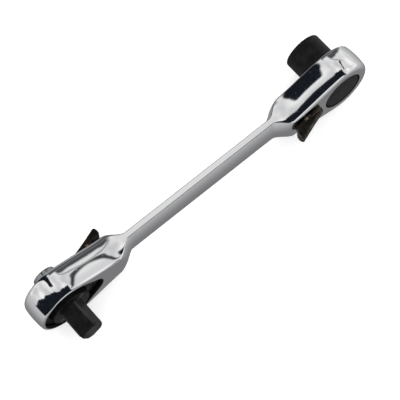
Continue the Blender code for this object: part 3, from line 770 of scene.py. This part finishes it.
def make_lever(end):
    bm = bmesh.new()
    steps = 84
    stack(bm, [lever_section(k / steps) for k in range(steps + 1)])
    low, high = -HALF - LEVER_LIFT, -HALF - LEVER_BASE_TOP
    big, small, length = LEVER_BASE
    loops = []
    for inset, v in rounded(((1.5, low), (0.0, low), (0.0, high), (1.5, high)), 0.35, 5):
        shape = pear(big, small, LEVER_CENTRE + length, 40, -inset, start=LEVER_CENTRE)
        loops.append(raised(shape, v))
    stack(bm, loops)
    stem = ((STEM_RADIUS, -HALF - 0.6), (STEM_RADIUS, STEM_TOP - 0.3), (STEM_RADIUS - 0.3, STEM_TOP))
    turned(stem, 40, (LEVER_CENTRE, 0.0), bm=bm)
    return link_mesh(f"{end}_lever", mesh_from(bm, 38.0), end)


def make_cover(end):
    """Thin plate with a rounded rim, cut for the hub and the pin."""
    low, high = COVER_BAND
    bm = bmesh.new()
    loops = []
    for inset, v in rounded(((1.2, low), (0.0, low), (0.0, high), (1.2, high)), 0.18, 4):
        loops.append(raised(recess_outline(-COVER_GAP - inset), v))
    stack(bm, loops)
    cover = link_mesh(f"{end}_cover", mesh_from(bm), end)
    hole = turned(((HUB_HOLE, low - CUT_PAST), (HUB_HOLE, high - MOUTH_CHAMFER),
                   (HUB_HOLE + MOUTH_CHAMFER + CUT_PAST, high + CUT_PAST)))
    pin = turned(((PIN_HOLE, low - CUT_PAST), (PIN_HOLE, high + CUT_PAST)), 24, (PIN_CENTRE, 0.0))
    cut_away(cover, [link_mesh("cutter", mesh_from(shape), end) for shape in (hole, pin)])
    cover.data.set_sharp_from_angle(angle=math.radians(28.0))
    weighted_normals(cover)
    return cover


def make_cover_ring(end):
    """A round sprung wire in the recess's groove, open towards the handle."""
    outline = recess_outline(0.05, 96)
    count = len(outline)
    opening = 8
    first = count - count // 4 + opening
    path = [outline[(first + i) % count] for i in range(count - 2 * opening)]
    v = (GROOVE_LOW + GROOVE_HIGH) / 2
    sides = 12
    rows = []
    for i, point in enumerate(path):
        before, after = path[max(i - 1, 0)], path[min(i + 1, len(path) - 1)]
        along = Vector((after[0] - before[0], after[1] - before[1])).normalized()
        out = Vector((along.y, -along.x))
        row = []
        for k in range(sides):
            angle = 2 * math.pi * k / sides
            side, rise = WIRE_RADIUS * math.cos(angle), WIRE_RADIUS * math.sin(angle)
            row.append((point[0] + out.x * side, v + rise, point[1] + out.y * side))
        rows.append(row)
    bm = bmesh.new()
    stack(bm, rows)
    return link_mesh(f"{end}_wire_ring", mesh_from(bm, 60.0), end)


# ---------------------------------------------------------------- assembling

def dress(obj, material, slot, body, *nodes):
    """Gives a piece its finish and its body, and hides the CAD nodes that it stands for."""
    if not obj.data.materials:
        obj.data.materials.append(material)
    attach(obj, body)
    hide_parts(*nodes)


def make_pieces(materials):
    rows = [
        (make_body(materials["chrome"], materials["cavity_shade"]), "chrome", "body", "wrench_body"),
        (make_square_drive(), "black_oxide", "square_drive", "square_drive_gear"),
        (make_bit_holder(), "black_oxide", "bit_holder", "bit_holder_gear"),
        (make_button(), "button_chrome", "release", "release_button"),
    ]
    for end in ENDS:
        rows.append((make_lever(end), "lever_bronze", f"{end}_lever", f"{end}_end_lever"))
        rows.append((make_cover(end), "cover_black", "body", f"{end}_end_cover_plate"))
        rows.append((make_cover_ring(end), "cover_black", "body", f"{end}_end_cover_ring"))
    for piece, slot, body, node in rows:
        dress(piece, materials[slot], slot, body, node)


def finish_kept_nodes(frame, materials):
    """The CAD nodes that stay get their slot's finish."""
    slots = {part["node"]: part["material_slot"] for part in frame["record"]["subparts"]}
    for name, obj in frame["nodes"].items():
        for place in obj.material_slots:
            place.material = materials[slots[name]]


# ---------------------------------------------------------------- studio

def add_camera():
    to_camera = Vector(VIEW_DIRECTION).normalized()
    along = (Vector((1, 0, 0)) - to_camera * to_camera.x).normalized()
    across = to_camera.cross(along)
    right = along * math.cos(VIEW_ROLL) - across * math.sin(VIEW_ROLL)
    up = along * math.sin(VIEW_ROLL) + across * math.cos(VIEW_ROLL)
    place = Vector(TOOL_CENTRE) + to_camera * VIEW_DISTANCE + right * VIEW_SHIFT[0] + up * VIEW_SHIFT[1]
    data = bpy.data.cameras.new("camera")
    data.lens = LENS
    data.sensor_width = SENSOR
    data.clip_start = 0.01
    camera = bpy.data.objects.new("camera", data)
    turn = Matrix((right, up, to_camera)).transposed().to_4x4()
    camera.matrix_world = Matrix.Translation(place * MM) @ turn
    bpy.context.scene.collection.objects.link(camera)
    bpy.context.scene.camera = camera


def step_up(tree, value, edge, soft=0.02):
    """0 below the edge and 1 above it."""
    return span(tree, value, edge - soft, edge + soft)


def step_down(tree, value, edge, soft=0.02):
    return span(tree, value, edge - soft, edge + soft, 1.0, 0.0)


def all_of(tree, *masks):
    total = masks[0]
    for mask in masks[1:]:
        total = math_node(tree, "MULTIPLY", total, mask)
    return total


def between(tree, value, low, high, soft=0.02):
    """1 between the two edges and 0 outside them."""
    return all_of(tree, step_up(tree, value, low, soft), step_down(tree, value, high, soft))


def reflected_direction(tree):
    """X, Y and Z of the direction looked in, with X and Y slightly wavered."""
    source = add_node(tree, "ShaderNodeTexCoord").outputs["Generated"]
    axes = add_node(tree, "ShaderNodeSeparateXYZ", {0: source}).outputs
    sway = add_node(tree, "ShaderNodeTexNoise", {"Vector": source, "Scale": 4.0, "Detail": 1.0})
    shift = add_node(tree, "ShaderNodeSeparateXYZ", {0: sway.outputs["Color"]}).outputs
    offsets = [math_node(tree, "MULTIPLY_ADD", shift[k], SWAY, -SWAY / 2) for k in range(2)]
    x, y = (math_node(tree, "ADD", axes[k], offsets[k]) for k in range(2))
    return x, y, axes[2]


def noise_in(tree, scale):
    """Broad noise over directions."""
    source = add_node(tree, "ShaderNodeTexCoord").outputs["Generated"]
    node = add_node(tree, "ShaderNodeTexNoise", {"Vector": source, "Scale": scale, "Detail": 1.0})
    return node.outputs["Fac"]


def front_gap(tree, x, y, z):
    """A dark gap on the -Y side, up to a sloping edge."""
    rise = math_node(tree, "MULTIPLY_ADD", x, -0.25, -0.055, clamp=True)
    edge = math_node(tree, "SUBTRACT", y, rise)
    return all_of(tree, step_down(tree, edge, 0.13, 0.015), step_down(tree, x, 0.44, 0.03),
                  step_up(tree, y, -0.93, 0.03), step_up(tree, z, -0.15, 0.03))


def high_gaps(tree, x, y):
    """Gaps between the panels overhead, in the plane of a direction's X and Y."""
    lean = math_node(tree, "MULTIPLY_ADD", y, -0.25, x)
    wedge = all_of(tree, step_down(tree, lean, -0.215), step_up(tree, x, -0.30), step_up(tree, y, 0.31))
    stem = math_node(tree, "MULTIPLY_ADD", y, -0.5, x)
    upright = all_of(tree, between(tree, stem, 0.475, 0.545), between(tree, y, -0.05, 0.31))
    drift = math_node(tree, "MULTIPLY_ADD", x, 0.5, y)
    seam = all_of(tree, between(tree, drift, 0.635, 0.67, 0.01), step_up(tree, x, 0.40),
                  step_down(tree, x, 0.75, 0.1))
    hem = all_of(tree, between(tree, y, 0.45, 0.56), step_up(tree, x, 0.40, 0.06))
    total = wedge
    for mask, depth in ((upright, 0.95), (seam, 0.55), (hem, 0.9)):
        total = math_node(tree, "MAXIMUM", total, math_node(tree, "MULTIPLY", mask, depth))
    return total


def add_world():
    """Even white light for dull surfaces; glossy ones see panels, dark gaps and a grey table.

    The edges of the gaps are set to suit this one view of the tool.
    """
    world = bpy.data.worlds.new("studio")
    world.use_nodes = True
    bpy.context.scene.world = world
    tree = world.node_tree
    x, y, z = reflected_direction(tree)
    panels = blend_colour(tree, span(tree, noise_in(tree, 2.6), 0.3, 0.7), *PANEL_TONES)
    above = blend_colour(tree, high_gaps(tree, x, y), panels, GAP_DARK)
    below = blend_colour(tree, span(tree, z, -1.0, -0.10), *TABLE_TONES)
    seen = blend_colour(tree, step_up(tree, z, -0.05, 0.05), below, above)
    side = all_of(tree, step_up(tree, y, 0.55, 0.05), step_up(tree, x, 0.05, 0.05),
                  step_up(tree, z, -0.7, 0.2))
    wall = blend_colour(tree, span(tree, z, -0.05, 0.25), *WALL_TONES)
    seen = blend_colour(tree, side, seen, wall)
    slot = all_of(tree, step_up(tree, y, 0.82), between(tree, x, -0.18, 0.06))
    seen = blend_colour(tree, slot, seen, GAP_DARK)
    seen = blend_colour(tree, front_gap(tree, x, y, z), seen, GAP_DARK)
    gloss = add_node(tree, "ShaderNodeLightPath").outputs["Is Glossy Ray"]
    colour = blend_colour(tree, gloss, (DAYLIGHT, DAYLIGHT, DAYLIGHT), seen)
    tree.links.new(colour, tree.nodes["Background"].inputs["Color"])


def add_floor():
    bm = bmesh.new()
    bmesh.ops.create_grid(bm, x_segments=1, y_segments=1, size=FLOOR_HALF)
    mesh = bpy.data.meshes.new("floor")
    bm.to_mesh(mesh)
    bm.free()
    floor = bpy.data.objects.new("floor", mesh)
    bpy.context.scene.collection.objects.link(floor)
    made, shader = new_tree("pale_floor")
    shader.inputs["Base Color"].default_value = (0.95, 0.95, 0.95, 1.0)
    shader.inputs["Roughness"].default_value = 0.9
    shader.inputs["Emission Color"].default_value = (1.0, 1.0, 1.0, 1.0)
    shader.inputs["Emission Strength"].default_value = FLOOR_GLOW
    floor.data.materials.append(made)
    floor.visible_glossy = False


def main():
    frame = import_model()
    bpy.context.scene.view_settings.view_transform = "Standard"
    materials = make_materials()
    finish_kept_nodes(frame, materials)
    make_pieces(materials)
    add_camera()
    add_floor()
    add_world()


main()
